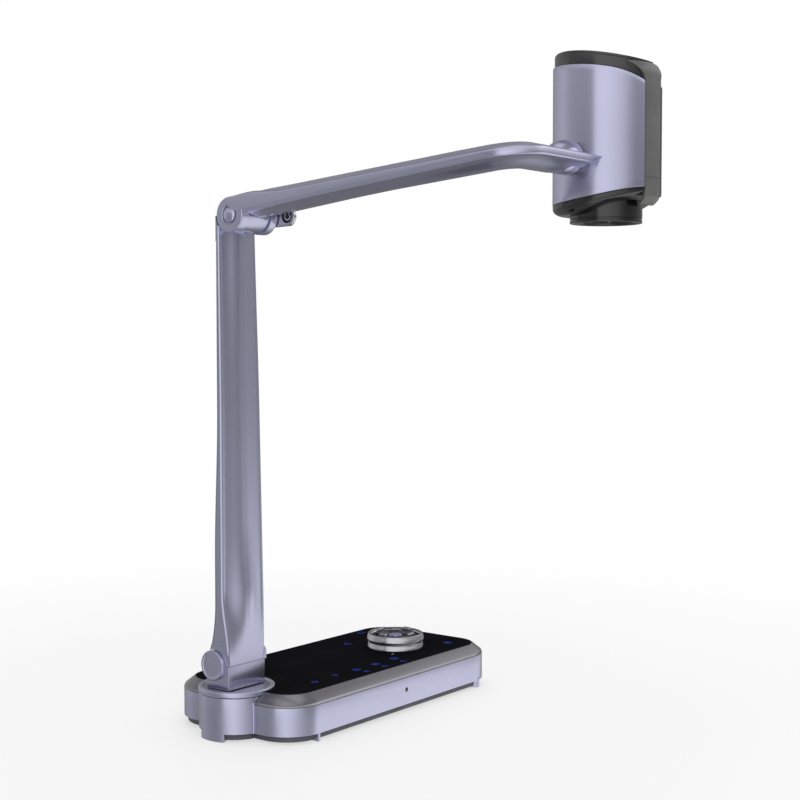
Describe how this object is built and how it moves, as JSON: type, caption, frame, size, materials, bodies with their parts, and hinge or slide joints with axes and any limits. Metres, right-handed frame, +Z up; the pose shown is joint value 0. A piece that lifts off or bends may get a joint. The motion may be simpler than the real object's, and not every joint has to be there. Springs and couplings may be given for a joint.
{
  "type": "document camera",
  "caption": "Desk document camera with a touch-panel base and jog dial, a swivelling tilting column, an L-shaped fluted arm and a round zoom camera head facing down.",
  "frame": {"origin": "on the desk, at the middle of the rubber foot under the column's swivel axis", "axes": "+X along the base towards its far end, -Y the front where the arm reaches out, +Z up"},
  "size_m": [0.2915, 0.3652, 0.5134],
  "materials": {
    "lavender_metal": "satin lavender grey coating",
    "lavender_shell": "satin metallic lavender grey paint",
    "dark_plastic": "matt dark grey",
    "dark_metal": "dark satin",
    "rubber": "matt black",
    "iron": "rough",
    "circuit_board": "green solder mask",
    "steel": "plain",
    "black_matt": "fine matt",
    "black_gloss": "gloss",
    "grey_plastic": "soft satin grey",
    "key_dark": "satin dark grey",
    "key_blue": "gloss lavender blue",
    "lens_glass": "coated lens glass"
  },
  "bodies": {
    "base": {"base_housing": "lavender_shell", "base_bezel": "lavender_shell", "touch_panel": "black_gloss", "base_plinth": "dark_plastic", "foot_1": "rubber", "foot_2": "rubber", "foot_3": "rubber", "foot_4": "rubber", "foot_5": "rubber", "ballast_weight": "iron", "main_board": "circuit_board", "ir_window": "black_gloss", "port_panel": "black_matt", "dc_jack": "black_matt", "usb_b_port": "steel", "usb_a_port": "steel", "hdmi_port": "steel", "vga_port": "black_matt", "swivel_bearing": "black_matt", "dial_base_ring": "lavender_metal", "dial_hub": "black_matt"},
    "jog_dial": {"jog_ring": "lavender_metal"},
    "key_1": {"nav_key_1": "key_dark"},
    "key_2": {"nav_key_2": "key_dark"},
    "key_3": {"nav_key_3": "key_dark"},
    "key_4": {"nav_key_4": "key_dark"},
    "key_centre": {"centre_key": "key_blue"},
    "turntable": {"turntable_cap": "lavender_metal", "turntable_disc": "lavender_metal", "swivel_pin": "steel", "foot_bracket": "lavender_metal", "lower_axle": "steel", "hinge_cap_left": "lavender_metal", "hinge_cap_right": "lavender_metal"},
    "column": {"column_shell": "lavender_metal", "column_cover": "lavender_metal"},
    "arm": {"arm_shell": "lavender_metal", "arm_cover": "lavender_metal", "elbow_pin": "steel", "elbow_cap": "lavender_metal", "elbow_ear": "lavender_metal", "wrist_pod": "lavender_metal", "wrist_flange": "dark_metal", "wrist_pin": "steel"},
    "head": {"head_cradle": "lavender_metal", "head_sleeve": "lavender_shell", "head_cap": "black_gloss", "head_front_panel": "grey_plastic", "head_bezel": "black_matt", "lens_barrel": "black_matt", "lens_ring": "black_matt", "lens_glass": "lens_glass", "camera_block": "black_matt", "sensor_board": "circuit_board"}
  },
  "joints": [
    {"name": "jog_turn", "type": "hinge", "parent": "base", "child": "jog_dial", "pos_m": [0.1871, -0.0112, 0.0449], "axis": [0, 0, 1], "continuous": true},
    {"name": "key_1_press", "type": "slide", "parent": "base", "child": "key_1", "axis": [0, 0, -1], "range_m": [0, 0.001], "stiffness_N_per_m": 400, "springref_m": -0.0005},
    {"name": "key_2_press", "type": "slide", "parent": "base", "child": "key_2", "axis": [0, 0, -1], "range_m": [0, 0.001], "stiffness_N_per_m": 400, "springref_m": -0.0005},
    {"name": "key_3_press", "type": "slide", "parent": "base", "child": "key_3", "axis": [0, 0, -1], "range_m": [0, 0.001], "stiffness_N_per_m": 400, "springref_m": -0.0005},
    {"name": "key_4_press", "type": "slide", "parent": "base", "child": "key_4", "axis": [0, 0, -1], "range_m": [0, 0.001], "stiffness_N_per_m": 400, "springref_m": -0.0005},
    {"name": "key_centre_press", "type": "slide", "parent": "base", "child": "key_centre", "axis": [0, 0, -1], "range_m": [0, 0.001], "stiffness_N_per_m": 400, "springref_m": -0.0005},
    {"name": "swivel", "type": "hinge", "parent": "base", "child": "turntable", "pos_m": [0, 0, 0.036], "axis": [0, 0, 1], "range_deg": [-90, 90]},
    {"name": "column_tilt", "type": "hinge", "parent": "turntable", "child": "column", "pos_m": [0, 0.0042, 0.0568], "axis": [-1, 0, 0], "range_deg": [0, 15]},
    {"name": "elbow", "type": "hinge", "parent": "column", "child": "arm", "pos_m": [0, -0.014, 0.401], "axis": [1, 0, 0], "range_deg": [-28, 85]},
    {"name": "wrist", "type": "hinge", "parent": "arm", "child": "head", "pos_m": [0.0697, -0.25738, 0.43382], "axis": [-1, 0, 0], "range_deg": [-30, 95]}
  ]
}
